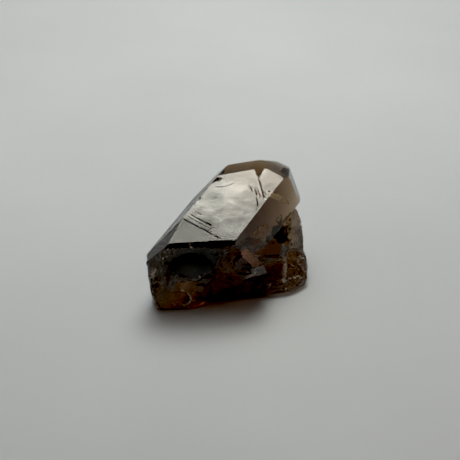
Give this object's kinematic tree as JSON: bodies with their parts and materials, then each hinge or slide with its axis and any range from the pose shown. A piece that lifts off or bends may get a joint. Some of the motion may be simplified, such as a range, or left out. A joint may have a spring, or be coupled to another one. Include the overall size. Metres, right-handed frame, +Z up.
{
  "type": "smoky quartz crystal",
  "caption": "Smoky quartz crystal lying on its side: a thick faceted prism with a pointed end, a broken root and small side crystals grown together with it.",
  "frame": {"origin": "under the middle of the bounding box, on the plane that the crystal rests on", "axes": "+Z up as it rests, +X along the longest extent, with the pointed end towards +X, +Y and up and the broken root towards -Y"},
  "size_m": [0.0458, 0.0352, 0.0316],
  "materials": {
    "smoky_quartz": "glassy brown see-through quartz, bright on the grown faces and rough on the broken ones"
  },
  "bodies": {
    "root": {"crystal": "smoky_quartz"}
  },
  "joints": []
}
